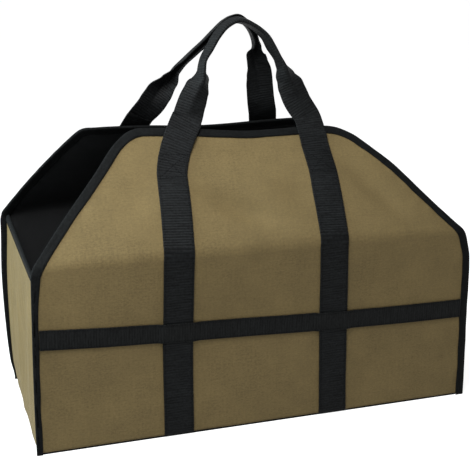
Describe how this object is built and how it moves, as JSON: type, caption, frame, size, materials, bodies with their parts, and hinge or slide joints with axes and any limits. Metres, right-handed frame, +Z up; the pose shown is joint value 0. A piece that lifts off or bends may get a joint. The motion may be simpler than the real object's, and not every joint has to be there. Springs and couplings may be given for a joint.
{
  "type": "canvas log carrier",
  "caption": "Open-topped canvas carrier for firewood: a boxed body, two leaning flaps, black tape on every edge, and webbing straps that run over the flaps as two loop handles.",
  "frame": {"origin": "on the floor below the middle of the carrier's outline", "axes": "+X along the carrier's width, to the right as seen from the front; -Y out of the front panel; +Z up"},
  "size_m": [0.61, 0.2797, 0.5288],
  "materials": {
    "canvas": "coated cotton canvas, olive outside and near-black inside",
    "binding": "black woven tape, matt",
    "webbing": "black ribbed webbing, slight sheen"
  },
  "bodies": {
    "root": {"front_panel": "canvas", "front_edge_binding": "binding", "front_hem_binding": "binding", "front_carry_strap": "webbing", "front_band": "webbing", "back_panel": "canvas", "back_edge_binding": "binding", "back_hem_binding": "binding", "back_carry_strap": "webbing", "back_band": "webbing", "ends_and_base": "canvas", "left_end_binding": "binding", "right_end_binding": "binding"}
  },
  "joints": []
}
